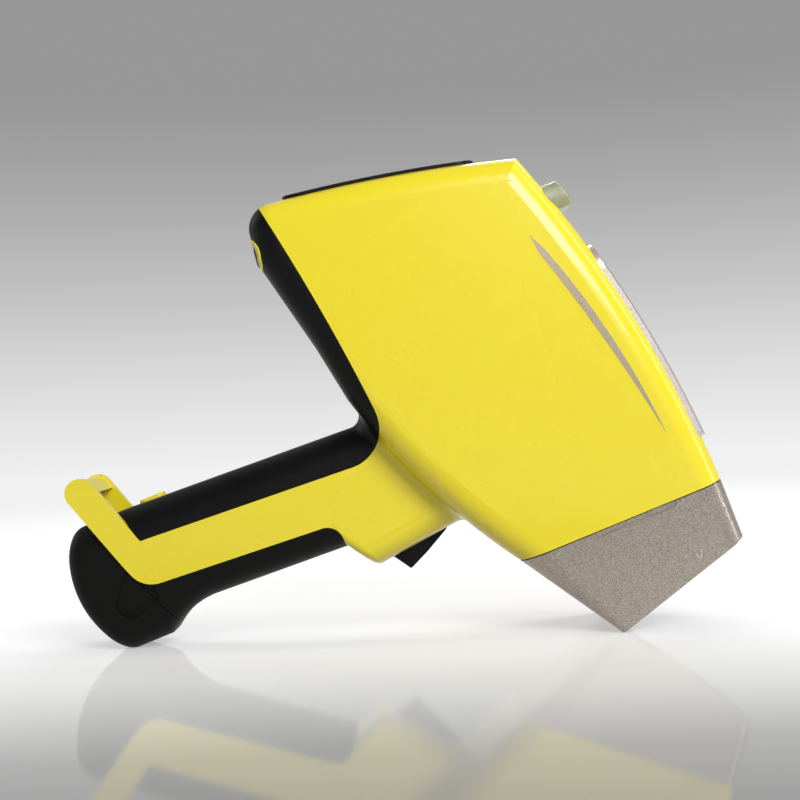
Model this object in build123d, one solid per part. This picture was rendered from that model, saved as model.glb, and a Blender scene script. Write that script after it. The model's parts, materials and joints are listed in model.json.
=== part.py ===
from build123d import *
import math
import os

os.makedirs("parts", exist_ok=True)

# Lengths are in mm. The pieces are drawn in the instrument's own frame: +X points at the sample,
# +Z at the instrument's top, Y = 0 is the middle plane and the origin lies where the yellow
# housing meets the nose. Points are (x, z). At the end every piece is laid down as the instrument
# rests on a table, on the lower edge of its nose and the front corner of its battery cap.

# head outline
seam_top = (0.0, 47.4)
crown = (-95.0, 37.2)
rear_top = (-171.6, 16.4)
rear_middle = (-187.4, -46.7)
rear_bottom = (-197.0, -108.6)
chin = (-172.0, -111.8)
belly = (-125.4, -101.6)
throat = (-98.0, -97.0)
keel = (-46.0, -77.8)
seam_bottom = (0.0, -51.6)

# head widths, half of the full width, at the screen, the middle and the seam
rear_half = 38.0
middle_half = 42.0
seam_half = 39.6
widest_x = -100.0
head_round = 12.0
wall = 3.0
clear_seam = 0.5

# nose
nose_top = (28.1, 47.5)
nose_tip = (47.8, -20.8)
nose_half = 34.5
nose_round_top = 9.0
nose_round_tip = 3.0
nose_wall = 2.4
plate_thick = 2.6
latch_length = 41.0
latch_width = 2.4
latch_round = 2.1
latch_depth = 0.8
latch_centre_z = 2.6
rib_count = 5
rib_start = 1.9
rib_pitch = 1.6
rib_width = 0.8
rib_depth = 0.6
rib_span = 26.0

# handle
grip_half = 23.0
grip_back_x = -84.5
grip_front_x = -32.7
grip_top_z = -70.0
grip_lean = 0.043
back_round = 16.0
front_round = 13.0
flare_start_z = -188.0
flare_middle_z = -202.0
flare_end_z = -215.0
flare_middle = 2.6
flare_reach = 10.6
seam_point = (-32.0, -208.3)
seam_slope = 0.44
cap_gap = 0.4
cap_back_z = -240.5
cap_low = (-62.0, -249.3)
cap_front_z = -235.5
cap_round = 8.0
cap_wall = 3.0

# neck and the finger stop under the trigger
neck_front_x = -27.0
neck_top_z = -64.0
stop_front = (-21.2, -113.4)
stop_back = (-38.0, -124.6)
neck_round = 12.0
stop_round = 4.0
throat_round = 6.0

# parting lines
spine_rear = (-212.0, -105.0)
spine_middle = (-150.0, -93.9)
spine_knee = (-90.0, -87.2)
spine_front = (-67.5, -87.2)
spine_round = 19.0
stripe_back_low = (-74.6, -215.0)
stripe_front_top = (-47.3, -123.5)
stripe_front_low = (-53.5, -218.4)
stripe_round_top = 8.0
stripe_round_low = 13.0

# strap loop
arm_thick = 4.2
arm_width = 13.7
arm_root = (-66.2, -215.6)
arm_tip = (-105.4, -228.9)
web_width = 11.6
web_front_x = -103.0

# cap finger scallops
scallop_depth = 2.2
scallop_corners = ((-45.6, -213.0), (-41.1, -229.0), (-50.5, -234.6), (-66.5, -221.4), (-58.5, -213.0))
scallop_round = 5.0

# side accent
accent_start = (-136.0, 7.3)
accent_end = (-29.8, 30.6)
accent_upper = (-82.5, 25.0)
accent_lower = (-81.6, 19.4)
accent_face = 0.8
accent_back = 2.0

# top cover
cover_rear_x = -122.5
cover_front_x = -22.0
cover_half = 36.5
cover_rise = 2.0
cover_round_rear = 13.0
cover_round_front = 3.0

# warning lamp
lamp_x = -148.8
lamp_length = 13.0
lamp_span = 71.0
lamp_top_z = 30.6
lamp_slope = 0.30
lamp_lip = 2.0
lamp_seat = 1.0
lamp_edge = 0.8
led_count = 6
led_rise = 1.0

# screen
bezel_top_z = -2.0
bezel_bottom_z = -90.0
bezel_half = 31.5
bezel_rise = 1.6
bezel_seat = 1.0
bezel_round = 8.0
window_margin = 7.0
window_chin = 11.0
window_round = 3.0
glass_rise = 1.1
lcd_depth = 6.0

# keypad under the screen
keypad_x = -175.0
keypad_length = 17.0
keypad_span = 72.0
keypad_rim = 1.9
keypad_round = 8.2
rim_sink = 0.8
rim_rise = 0.4
key_length = 8.6
key_width = 13.0
key_pitch = 17.5
key_round = 2.9
key_rise = 0.5
key_flange = 1.2
key_flange_gap = 0.2
key_flange_thick = 1.0
key_clear = 0.3
key_travel = 0.8
board_thick = 1.6
board_round = 1.0
post_side = 2.4
post_inset = 3.0
pad_drop = 4.0
pad_reach = 30.0

# trigger
pivot = (-31.0, -80.5)
pin_r = 1.5
pin_half = 12.0
pin_clear = 0.05
boss_r = 3.6
trigger_half = 6.0
trigger_clear = 0.5
hub_half = 3.0
trigger_corners = ((4.4, 5.6), (6.8, 2.6), (13.2, -9.5), (17.8, -19.7), (8.4, -25.9),
                   (-3.6, -23.5), (-5.0, -3.4), (-3.4, 4.6))
trigger_round = 1.0
hub_step = ((-8.0, -4.2), (3.0, -4.2), (3.0, 9.0), (-8.0, 9.0))
slot_top_z = -73.2
slot_bottom_z = -108.6
spring_wire = 0.8
spring_coil_r = 2.6
spring_turns = 2.5
spring_pitch = 1.0
spring_clear = 0.1
boss_start_y = 6.6
boss_end_y = 14.0
switch_length = 9.0
switch_height = 8.0
switch_half = 3.0
switch_centre = (-47.5, -96.0)
bracket_size = (8.0, 6.0)
plunger_r = 1.0
plunger_tip_x = -38.4

# release button on the back of the handle
release_z = -202.0
release_height = 13.0
release_width = 9.0
release_round = 4.1
release_rise = 1.7
release_clear = 0.3
release_flange = 1.5

# battery
pack_back = 5.0
pack_depth = 38.0
pack_half = 16.0
pack_round = 9.0
pack_top_z = -122.0
pack_bottom_z = -234.0
terminal_count = 4
terminal_length = 6.0
terminal_width = 2.4
terminal_height = 1.5
terminal_pitch = 6.5
contact_gap = 0.3
contact_height = 7.0
contact_length = 16.0
contact_x = -62.0

# measuring head inside the nose
tube_tilt = 36.0
tube_r = 12.5
tube_start = 40.0
tube_end = 96.0
collimator_r = 4.0
collimator_start = 18.6
detector_tilt = -6.0
detector_r = 10.0
detector_start = 38.0
detector_end = 78.0
snout_r = 4.5
snout_start = 11.0
wheel_r = 12.0
wheel_thick = 1.6
wheel_distance = 16.6
wheel_offset = 8.4
wheel_holes = 6
wheel_hole_r = 2.4
filter_thick = 0.4
shaft_r = 1.0
shaft_clear = 0.05
shaft_reach = 0.6
motor_r = 3.9
motor_length = 15.0
motor_start = 19.4
block_half = 15.0
block_top_z = 26.0
block_front_x = 20.0
block_high_front = -11.5
block_high_back = -11.0
block_low_front = 14.0
block_low_back = 16.0
window_r = 5.0
ring_r = 11.0
ring_clear = 0.1
ring_thick = 1.0
film_r = 7.0
film_thick = 0.2
ring_screw_r = 1.1
ring_screw_head_r = 1.9
ring_screw_head = 0.6
ring_screw_circle = 8.9
ring_screw_count = 3

# frame that carries the electronics
chassis_y = 20.0
chassis_thick = 2.0
chassis_corners = ((-158.0, -80.0), (-66.0, -80.0), (-38.0, -62.0), (-10.0, -40.0),
                   (-10.0, 28.0), (-60.0, 28.0), (-150.0, 9.0), (-158.0, 2.0))
chassis_round = 4.0
chassis_mounts = ((-148.0, -72.0), (-126.0, 6.0), (-20.0, 20.0), (-40.0, -52.0))
mount_r = 3.2
standoff_r = 2.5
standoff_height = 4.0
supply_size = (58.0, 30.0)
supply_centre = (-86.0, -58.0)
supply_half = 16.0
supply_round = 3.0
stub_r = 4.0
stub_end = 118.0
processor_size = (88.0, 56.0)
processor_centre = (-110.0, -31.0)
preamp_size = (34.0, 18.0)
preamp_centre = (-60.0, 16.0)
preamp_y = 12.0
chip_size = 16.0
chip_pitch = 25.6
chip_thick = 2.0

# housing screws, driven in from the left side
screw_places = ((-158.0, -2.0), (-174.0, -91.0), (-14.0, 34.5), (-12.0, -46.0), (-52.0, 0.0))
screw_r = 1.5
screw_head_r = 3.0
screw_head_depth = 2.6
screw_seat_y = 33.0
screw_end_y = -8.0
screw_boss_r = 4.4
screw_clear = 0.2

FAR = 300.0


# ---- drawing helpers ----

def slab(outline, y_from, y_to):
    """An (x, z) outline made solid between two y values."""
    face = Plane.XZ.offset(-y_from) * outline
    return extrude(face, amount=y_to - y_from, dir=(0, 1, 0))


def polygon(*points):
    return Polygon(*points, align=None)


def corner(outline, point, radius):
    """Rounds the outline's vertex nearest to the point."""
    vertex = min(outline.vertices(), key=lambda v: math.hypot(v.X - point[0], v.Y - point[1]))
    return fillet(vertex, radius)


def aim(origin, tilt, distance):
    """The point that lies at a distance behind the origin along a tilted axis."""
    angle = math.radians(tilt)
    return (origin[0] - distance * math.cos(angle), origin[1] - distance * math.sin(angle))


def along(tilt, point):
    """A plane at an (x, z) point whose normal points forward along a tilted axis."""
    angle = math.radians(tilt)
    return Plane(origin=(point[0], 0, point[1]), x_dir=(0, 1, 0),
                 z_dir=(math.cos(angle), 0, math.sin(angle)))


def bar(origin, tilt, start, end, radius):
    """A round bar on a tilted axis between two distances behind the origin."""
    return along(tilt, aim(origin, tilt, end)) * Cylinder(
        radius, end - start, align=(Align.CENTER, Align.CENTER, Align.MIN))


def cross_bar(point, y_from, y_to, radius):
    return slab(Pos(point[0], point[1]) * Circle(radius), y_from, y_to)


# ---- outer form ----

reach = clear_seam + head_round


def head_outline():
    """The head from the side, drawn on past the seam by the reach."""
    slope = (nose_tip[1] - seam_bottom[1]) / nose_tip[0]
    low = (reach, seam_bottom[1] + slope * reach)
    outline = [
        Polyline(low, (reach, seam_top[1]), seam_top),
        ThreePointArc(seam_top, crown, rear_top),
        ThreePointArc(rear_top, rear_middle, rear_bottom),
        Polyline(rear_bottom, chin, belly, throat),
        ThreePointArc(throat, keel, seam_bottom),
        Line(seam_bottom, low),
    ]
    return make_face(Curve() + outline)


def side_arc(inset):
    """The head's left side seen from above."""
    return ThreePointArc((rear_bottom[0] - reach, rear_half - inset), (widest_x, middle_half - inset),
                         (seam_top[0] + reach, seam_half - inset))


def head_form(inset):
    """The head's closed outer form, or a copy of it that lies inset mm inside."""
    outline = head_outline()
    if inset:
        outline = offset(outline, -inset, kind=Kind.INTERSECTION)
    left, right = side_arc(inset), mirror(side_arc(inset), Plane.XZ)
    rear = rear_half - inset
    sides = [left, Line(left @ 1, right @ 1), right, Line(right @ 0, left @ 0)]
    body = slab(outline, -FAR / 4, FAR / 4) & extrude(make_face(Curve() + sides), FAR / 2, both=True)
    front_x = body.bounding_box().max.X
    rims = [e for e in body.edges()
            if abs(e.center().Y) > rear / 2 and e.bounding_box().min.X < front_x - 0.1]
    rear_corners = [e for e in body.edges() if abs(e.center().Y) < 1
                    and e.center().X < min(rear_top[0], chin[0]) + inset]
    return fillet(rims + rear_corners, head_round - inset)


def grip_section(z, inset, back=0.0, front=0.0):
    """The handle's cross-section at one height, a rectangle rounded more at the back."""
    shift = (z - grip_top_z) * grip_lean
    x_back = grip_back_x + shift - back + inset
    x_front = grip_front_x + shift + front - inset
    half = grip_half - inset
    outline = polygon((x_back, -half), (x_front, -half), (x_front, half), (x_back, half))
    backs = outline.vertices().filter_by(lambda v: v.X < (x_back + x_front) / 2)
    outline = fillet(backs, back_round - inset)
    fronts = outline.vertices().sort_by(Axis.X)[-2:]
    return Pos(0, 0, z) * fillet(fronts, front_round - inset)


def grip_form(inset):
    shaft = loft([grip_section(grip_top_z, inset), grip_section(flare_start_z, inset)])
    flare = loft([
        grip_section(flare_start_z, inset),
        grip_section(flare_middle_z, inset, front=flare_middle),
        grip_section(flare_end_z, inset, front=flare_reach),
    ])
    foot = extrude(grip_section(flare_end_z, inset, front=flare_reach), -FAR / 6)
    return shaft + flare + foot


def cap_bottom():
    """The arc of the cap's underside, from its back to its front."""
    box = grip_section(flare_end_z, 0.0, front=flare_reach).bounding_box()
    return ThreePointArc((box.min.X, cap_back_z), cap_low, (box.max.X, cap_front_z))


def foot_form():
    """The battery cap's rounded block, before its top is cut along the seam."""
    arc = cap_bottom()
    back, front = arc @ 0, arc @ 1
    below = [arc, Polyline((front.X, front.Y), (front.X, -FAR), (back.X, -FAR), (back.X, back.Y))]
    block = grip_form(0.0) - slab(make_face(Curve() + below), -FAR, FAR)
    rim = [e for e in block.edges() if e.bounding_box().max.Z < flare_end_z - cap_round]
    return fillet(rim, cap_round)


def neck_form(inset):
    """The neck between the head and the handle, with the finger stop at its foot."""
    back_x = (grip_back_x + grip_front_x) / 2
    outline = polygon((back_x, neck_top_z), (neck_front_x, neck_top_z), stop_front, stop_back,
                      (back_x, stop_back[1]))
    if inset:
        outline = offset(outline, -inset, kind=Kind.INTERSECTION)
    half = grip_half - inset
    body = slab(outline, -half, half)
    fronts = [e for e in body.edges() if e.bounding_box().size.X < neck_round / 2
              and e.bounding_box().size.Z > neck_round and e.center().X > back_x + neck_round]
    body = fillet(fronts, neck_round - inset)
    lip_z = stop_front[1] + inset
    lip = [e for e in body.edges() if e.center().X > stop_front[0] - neck_round - inset
           and abs(e.center().Z - lip_z) < neck_round and e.bounding_box().size.Z < neck_round]
    return fillet(lip, stop_round - inset / 2)


def outer_form():
    body = head_at(0.0) + neck_form(0.0) + grip_form(0.0)
    ring = [e for e in body.edges() if inside(e.bounding_box(), grip_half + throat_round / 2)]
    return fillet(ring, throat_round)


def inside(box, half):
    """True for the edge loop where the neck and the handle meet the head's underside."""
    return (throat[1] - throat_round < box.min.Z and box.max.Z < neck_top_z and box.min.Y > -half
            and box.max.Y < half and box.min.X > throat[0] and box.max.X < keel[0] + head_round * 2)


def inner_form():
    return head_at(wall) + neck_form(wall) + grip_form(wall)


forms = {}


def head_at(depth):
    """The head's form at a depth under its surface, made once for each depth."""
    if depth not in forms:
        forms[depth] = head_form(depth)
    return forms[depth]


def layer(outer_depth, inner_depth):
    return head_at(outer_depth) - head_at(inner_depth)


# ---- parting regions ----

def before_seam():
    """Everything behind the joint between the housing and the nose."""
    return slab(polygon((-clear_seam, -FAR), (-clear_seam, FAR), (-FAR, FAR), (-FAR, -FAR)),
                -FAR, FAR)


def below_cap_seam(gap):
    """Everything under the slanted joint between the handle and the battery cap."""
    x, z = seam_point
    low = z - gap
    return slab(polygon((x + FAR, low + seam_slope * FAR), (x - FAR, low - seam_slope * FAR),
                        (x - FAR, -2 * FAR), (x + FAR, -2 * FAR)), -FAR, FAR)


def spine_region():
    """The black back: the head's rear underside and the back of the handle."""
    bottom = stripe_back_low[1] - FAR
    lean = (spine_front[0] - stripe_back_low[0]) / (spine_front[1] - stripe_back_low[1])
    low = (stripe_back_low[0] - lean * FAR, bottom)
    edge = [
        ThreePointArc(spine_rear, spine_middle, spine_knee),
        Polyline(spine_knee, spine_front, low, (spine_rear[0], bottom), spine_rear),
    ]
    return slab(corner(make_face(Curve() + edge), spine_front, spine_round), -FAR, FAR)


def grip_region():
    """The black front of the handle, up to the edge of the yellow stripe and the strap arm."""
    slope = (arm_root[1] - arm_tip[1]) / (arm_root[0] - arm_tip[0])
    rear = (stripe_front_low[0] - FAR / 4, stripe_front_low[1] - slope * FAR / 4)
    outline = polygon((0.0, stripe_front_top[1]), stripe_front_top, stripe_front_low, rear,
                      (rear[0], -FAR), (0.0, -FAR))
    outline = corner(outline, stripe_front_top, stripe_round_top)
    outline = corner(outline, stripe_front_low, stripe_round_low)
    return slab(outline, -FAR, FAR)


# ---- strap loop ----

def strap_bar(width):
    """The outline of a strap arm, round at both ends."""
    dx, dz = arm_tip[0] - arm_root[0], arm_tip[1] - arm_root[1]
    middle = ((arm_root[0] + arm_tip[0]) / 2, (arm_root[1] + arm_tip[1]) / 2)
    spread = math.hypot(dx, dz) + width
    return Pos(*middle) * (Rot(0, 0, math.degrees(math.atan2(dz, dx))) * SlotOverall(spread, width))


def strap_arm(side):
    inner, outer = sorted((side * (grip_half - arm_thick), side * grip_half))
    return slab(strap_bar(arm_width), inner, outer)


def strap_web(side):
    """Half of the bar that joins the two arm tips behind the strap slot."""
    keep = slab(polygon((web_front_x, -FAR), (-FAR, -FAR), (-FAR, 0), (web_front_x, 0)), -FAR, FAR)
    inner, outer = sorted((0.0, side * (grip_half - arm_thick / 2)))
    return slab(strap_bar(web_width), inner, outer) & keep


# ---- side accents, top cover and lamp ----

def accent_prism():
    edge = [ThreePointArc(accent_start, accent_upper, accent_end),
            ThreePointArc(accent_end, accent_lower, accent_start)]
    return slab(make_face(Curve() + edge), -FAR / 4, FAR / 4)


def cover_prism():
    length = cover_front_x - cover_rear_x
    outline = Pos(cover_rear_x + length / 2, 0) * Rectangle(length, 2 * cover_half)
    rears = outline.vertices().sort_by(Axis.X)[:2]
    outline = fillet(rears, cover_round_rear)
    fronts = outline.vertices().sort_by(Axis.X)[-2:]
    return extrude(fillet(fronts, cover_round_front), FAR / 4, dir=(0, 0, 1))


def lamp_prism(inset):
    outline = Pos(lamp_x, 0) * Rot(0, 0, 90) * SlotOverall(lamp_span - 2 * inset, lamp_length - 2 * inset)
    return extrude(outline, FAR / 4, dir=(0, 0, 1))


def lamp_lens():
    reach = lamp_length
    rise = lamp_slope * reach
    under = polygon((lamp_x - reach, lamp_top_z - rise), (lamp_x + reach, lamp_top_z + rise),
                    (lamp_x + reach, 0), (lamp_x - reach, 0))
    lens = lamp_prism(0.0) & slab(under, -FAR, FAR)
    lens = lens - head_at(lamp_seat)
    return fillet(lens.faces().sort_by(Axis.Z)[-1].edges(), lamp_edge)


def lamp_leds():
    """The lamp's circuit board with its row of lights in the opening under the lens."""
    board = layer(wall, wall + board_thick) & lamp_prism(lamp_lip)
    pitch = (lamp_span - 2 * lamp_length) / (led_count - 1)
    for i in range(led_count):
        y = (i - (led_count - 1) / 2) * pitch
        led = Pos(lamp_x, y) * Rectangle(pitch / 3, pitch / 3)
        board = board + (extrude(led, FAR / 4, dir=(0, 0, 1)) & layer(wall - led_rise, wall + board_thick / 2))
    return board


# ---- screen ----

def rear_prism(side, bottom, top, radius):
    """A rounded block that runs through the rear face, inset from the bezel's outline."""
    height = bezel_top_z - bezel_bottom_z - bottom - top
    centre_z = bezel_bottom_z + bottom + height / 2
    face = Plane.YZ.offset(rear_bottom[0] - FAR / 10) * (
        Pos(0, centre_z) * RectangleRounded(2 * (bezel_half - side), height, radius))
    return extrude(face, FAR / 4, dir=(1, 0, 0))


def window_prism():
    return rear_prism(window_margin, window_chin, window_margin, window_round)


# ---- keypad ----

def underside_prism(length, span, radius, x=0.0, y=0.0):
    outline = Pos(keypad_x + x, y) * RectangleRounded(length, span, radius)
    return extrude(Pos(0, 0, chin[1] - pad_drop) * outline, pad_reach, dir=(0, 0, 1))


def keypad_ring():
    outer = underside_prism(keypad_length, keypad_span, keypad_round)
    return outer - underside_prism(keypad_length - 2 * keypad_rim, keypad_span - 2 * keypad_rim,
                                   keypad_round - keypad_rim)


def key_body(index):
    y = index * key_pitch
    neck_deep = wall + key_flange_gap
    stem = underside_prism(key_length, key_width, key_round, y=y)
    flange = underside_prism(key_length + 2 * key_flange, key_width + 2 * key_flange, key_round, y=y)
    return (stem & layer(-key_rise, neck_deep)) + (flange & layer(neck_deep, neck_deep + key_flange_thick))


def key_hole(index):
    return underside_prism(key_length + 2 * key_clear, key_width + 2 * key_clear,
                           key_round + key_clear, y=index * key_pitch)


def keypad_board():
    deep = wall + key_flange_gap + key_flange_thick + key_travel + key_clear
    span = 2 * key_pitch + key_width + 4 * key_flange
    return underside_prism(keypad_length, span, board_round) & layer(deep, deep + board_thick)


def keypad_posts():
    """Posts moulded inside the spine that carry the keypad's circuit board."""
    deep = wall + key_flange_gap + key_flange_thick + key_travel + key_clear
    posts = []
    for x in (-1, 1):
        for index in (-0.5, 0.5):
            post = underside_prism(post_side, post_side, board_round,
                                   x=x * (keypad_length - post_inset) / 2, y=index * key_pitch)
            posts.append(post & layer(wall / 2, deep))
    return posts


# ---- nose ----

front_tilt = math.degrees(math.atan2(nose_tip[0] - nose_top[0], nose_top[1] - nose_tip[1]))
front_height = math.hypot(nose_tip[0] - nose_top[0], nose_top[1] - nose_tip[1])
keel_stretch = math.hypot(nose_tip[0], nose_tip[1] - seam_bottom[1]) / nose_tip[0]
window = ((nose_top[0] + nose_tip[0]) / 2, (nose_top[1] + nose_tip[1]) / 2)


def front_section(inset):
    outline = Rectangle(2 * (nose_half - inset), front_height - 2 * inset)
    tops = outline.vertices().sort_by(Axis.Y)[-2:]
    outline = fillet(tops, nose_round_top - inset)
    tips = outline.vertices().sort_by(Axis.Y)[:2]
    return fillet(tips, max(nose_round_tip - inset, nose_round_tip / 4))


def seam_section(inset):
    """The nose's outline at the seam, as wide as the head is there."""
    side = side_arc(0.0)
    half = side.arc_center.Y + math.sqrt(side.radius ** 2 - side.arc_center.X ** 2) - inset
    low, high = seam_bottom[1] + inset * keel_stretch, seam_top[1] - inset
    outline = Pos(0, (low + high) / 2) * Rectangle(2 * half, high - low)
    tops = outline.vertices().sort_by(Axis.Y)[-2:]
    outline = fillet(tops, head_round - inset)
    tips = outline.vertices().sort_by(Axis.Y)[:2]
    return fillet(tips, head_round - inset)


def nose_form(inset):
    rear = (Plane.YZ * seam_section(inset)).faces()[0]
    front = (along(front_tilt, window) * front_section(inset)).faces()[0]
    return loft([rear, front])


def nose_latch():
    outline = Pos(0, latch_centre_z) * RectangleRounded(2 * latch_width, latch_length, latch_round)
    return slab(outline, -FAR / 4, FAR / 4) - nose_form(latch_depth)


def nose_ribs():
    grooves = []
    for i in range(rib_count):
        x = rib_start + i * rib_pitch
        grooves.append(Pos(x, 0, seam_top[1]) * Box(rib_width, rib_span, 2 * rib_depth))
    return grooves


def front_disc(radius, depth_from, depth_to):
    """A disc on the measuring axis between two depths behind the front face."""
    return bar(window, front_tilt, depth_from, depth_to, radius)


def ring_screws():
    screws = []
    for i in range(ring_screw_count):
        place = Pos(*polar(ring_screw_circle, 90 + i * 360 / ring_screw_count))
        axis = along(front_tilt, aim(window, front_tilt, 0)) * place
        down = (Align.CENTER, Align.CENTER, Align.MAX)
        head = Cylinder(ring_screw_head_r, ring_screw_head, align=down)
        shank = Cylinder(ring_screw_r, plate_thick, align=down)
        screws.append(axis * (head + shank))
    return screws


def polar(radius, degrees):
    angle = math.radians(degrees)
    return (radius * math.cos(angle), radius * math.sin(angle))


# ---- measuring head ----

def tube_plane(distance, side=0.0):
    """A plane across the tube's axis, moved sideways towards the nose's lower edge."""
    return along(tube_tilt, aim(window, tube_tilt, distance)) * Pos(0, -side, 0)


def tube_bar(start, end, radius, side=0.0):
    return tube_plane(end, side) * Cylinder(radius, end - start,
                                            align=(Align.CENTER, Align.CENTER, Align.MIN))


def tube_point(distance, side):
    """An (x, z) point at a distance behind the window, moved sideways off the tube's axis."""
    angle = math.radians(tube_tilt)
    x, z = aim(window, tube_tilt, distance)
    return (x + side * math.sin(angle), z - side * math.cos(angle))


def engine_block():
    outline = polygon((block_front_x, block_top_z), tube_point(motor_start, block_high_front),
                      tube_point(motor_start, block_low_front), tube_point(tube_start, block_low_back),
                      tube_point(tube_start, block_high_back), (seam_top[0], block_top_z))
    block = slab(outline, -block_half, chassis_y)
    block = block - tube_bar(collimator_start, tube_start, collimator_r)
    block = block - tube_bar(motor_start, motor_start + motor_length, motor_r, wheel_offset)
    return block - detector()


def xray_tube():
    tube = tube_bar(collimator_start, tube_start, collimator_r) + tube_bar(tube_start, tube_end, tube_r)
    return tube + tube_bar(tube_end, stub_end, stub_r) - supply_box()


def supply_box():
    box = Pos(*supply_centre) * RectangleRounded(*supply_size, supply_round)
    return slab(box, -supply_half, chassis_y)


def detector():
    body = bar(window, detector_tilt, detector_start, detector_end, detector_r)
    return body + bar(window, detector_tilt, snout_start, detector_start, snout_r)


def wheel_seats():
    """The centres of the filter holes, the first one on the tube's axis."""
    return [polar(wheel_offset, 90 + i * 360 / wheel_holes) for i in range(wheel_holes)]


def filter_wheel():
    down = (Align.CENTER, Align.CENTER, Align.MAX)
    disc = Cylinder(wheel_r, wheel_thick, align=down) - Cylinder(shaft_r + shaft_clear, FAR, align=down)
    for x, y in wheel_seats():
        disc = disc - Pos(x, y) * Cylinder(wheel_hole_r, FAR, align=down)
    return tube_plane(wheel_distance, wheel_offset) * disc


def filters():
    """Metal filters in every hole but the first, which stays open."""
    down = (Align.CENTER, Align.CENTER, Align.MAX)
    plane = tube_plane(wheel_distance + (wheel_thick - filter_thick) / 2, wheel_offset)
    return [plane * (Pos(x, y) * Cylinder(wheel_hole_r, filter_thick, align=down))
            for x, y in wheel_seats()[1:]]


def filter_motor():
    body = tube_bar(motor_start, motor_start + motor_length, motor_r, wheel_offset)
    return body + tube_bar(wheel_distance - shaft_reach, motor_start, shaft_r, wheel_offset)


# ---- electronics ----

def board(centre, size, y_from, y_to):
    return slab(Pos(*centre) * RectangleRounded(*size, board_round), y_from, y_to)


def board_posts(centre, size, y_from, y_to):
    inset = 2 * standoff_r
    spots = [(centre[0] + sx * (size[0] / 2 - inset), centre[1] + sz * (size[1] / 2 - inset))
             for sx in (-1, 1) for sz in (-1, 1)]
    return [cross_bar(spot, y_from, y_to, standoff_r) for spot in spots]


def chassis():
    outline = polygon(*chassis_corners)
    outline = fillet(outline.vertices(), chassis_round)
    plate = slab(outline, chassis_y, chassis_y + chassis_thick)
    for place in screw_places:
        plate = plate - cross_bar(place, 0, FAR, screw_boss_r + screw_clear)
    top = chassis_y + chassis_thick
    for post in board_posts(processor_centre, processor_size, top, top + standoff_height):
        plate = plate + post
    for post in board_posts(preamp_centre, preamp_size, preamp_y + board_thick, chassis_y):
        plate = plate + post
    return plate


def processor_board():
    low = chassis_y + chassis_thick + standoff_height
    plate = board(processor_centre, processor_size, low, low + board_thick)
    for i in range(3):
        x = processor_centre[0] + (i - 1) * chip_pitch
        z = processor_centre[1] + (i % 2 - 0.5) * chip_size
        plate = plate + board((x, z), (chip_size, chip_size), low + board_thick,
                              low + board_thick + chip_thick)
    return plate


# ---- trigger ----

def trigger():
    blade = Pos(*pivot) * polygon(*trigger_corners)
    tip = blade.vertices().sort_by(Axis.X)[-1]
    body = slab(fillet(tip, trigger_round), -trigger_half, trigger_half)
    step = Pos(*pivot) * polygon(*hub_step)
    for side in (-1, 1):
        inner, outer = sorted((side * hub_half, side * 2 * trigger_half))
        body = body - slab(step, inner, outer)
    return body - cross_bar(pivot, -FAR, FAR, pin_r + pin_clear)


def trigger_slot():
    half = trigger_half + trigger_clear
    front = stop_front[0] + neck_round
    return slab(polygon((pivot[0] + 1, slot_top_z), (front, slot_top_z), (front, slot_bottom_z),
                        (pivot[0] + 1, slot_bottom_z)), -half, half)


def pivot_boss(side):
    inner, outer = sorted((side * boss_start_y, side * boss_end_y))
    boss = cross_bar(pivot, inner, outer, boss_r) & neck_form(wall / 2)
    tip = sorted((0.0, side * pin_half))
    return boss - cross_bar(pivot, tip[0], tip[1], pin_r)


def trigger_spring():
    coil = Helix(spring_pitch, spring_pitch * spring_turns, spring_coil_r)
    wire = Plane(origin=coil @ 0, z_dir=coil % 0) * Circle(spring_wire / 2)
    spring = sweep(wire, path=coil)
    start_y = hub_half + spring_wire / 2 + spring_clear
    return Pos(pivot[0], start_y, pivot[1]) * (Rot(-90, 0, 0) * spring)


def trigger_switch():
    x, z = switch_centre
    box = slab(Pos(x, z) * Rectangle(switch_length, switch_height), -switch_half, switch_half)
    reach = plunger_tip_x - x
    return box + Pos(x, 0, z) * (Rot(0, 90, 0) * Cylinder(
        plunger_r, reach, align=(Align.CENTER, Align.CENTER, Align.MIN)))


def switch_bracket():
    x, z = switch_centre
    return slab(Pos(x, z) * Rectangle(*bracket_size), -grip_half + wall / 2, -switch_half)


# ---- release button ----

def grip_back(z):
    return grip_back_x + (z - grip_top_z) * grip_lean


def release_prism(depth_from, depth_to, grow):
    face = Plane.YZ.offset(grip_back(release_z) + depth_from) * (Pos(0, release_z) * RectangleRounded(
        release_width + 2 * grow, release_height + 2 * grow, release_round + grow))
    return extrude(face, depth_to - depth_from, dir=(1, 0, 0))


def release_button():
    deep = wall + 2 * release_clear
    button = release_prism(-release_rise, deep, 0.0)
    button = fillet(button.faces().sort_by(Axis.X)[0].edges(), release_rise / 2)
    return button + release_prism(deep, deep + release_flange, release_flange)


# ---- battery ----

def pack_section(z):
    back = grip_back(z) + wall + pack_back
    return Pos(back + pack_depth / 2, 0, z) * RectangleRounded(pack_depth, 2 * pack_half, pack_round)


def battery_pack():
    return loft([pack_section(pack_bottom_z), pack_section(pack_top_z)])


def battery_terminals():
    return [Pos(contact_x, (i - (terminal_count - 1) / 2) * terminal_pitch, pack_top_z) * Box(
        terminal_length, terminal_width, terminal_height, align=(Align.CENTER, Align.CENTER, Align.MIN))
        for i in range(terminal_count)]


def battery_contacts():
    low = pack_top_z + terminal_height + contact_gap
    half = grip_half - wall
    return Pos(contact_x, 0, low) * Box(contact_length, 2 * half, contact_height,
                                        align=(Align.CENTER, Align.CENTER, Align.MIN))


def scallops():
    outline = polygon(*scallop_corners)
    low = outline.vertices().sort_by(Axis.Y)[:2]
    outline = fillet(low, scallop_round)
    sides = []
    for side in (-1, 1):
        inner, outer = sorted((side * (grip_half - scallop_depth), side * FAR))
        sides.append(slab(outline, inner, outer))
    return sides


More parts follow.
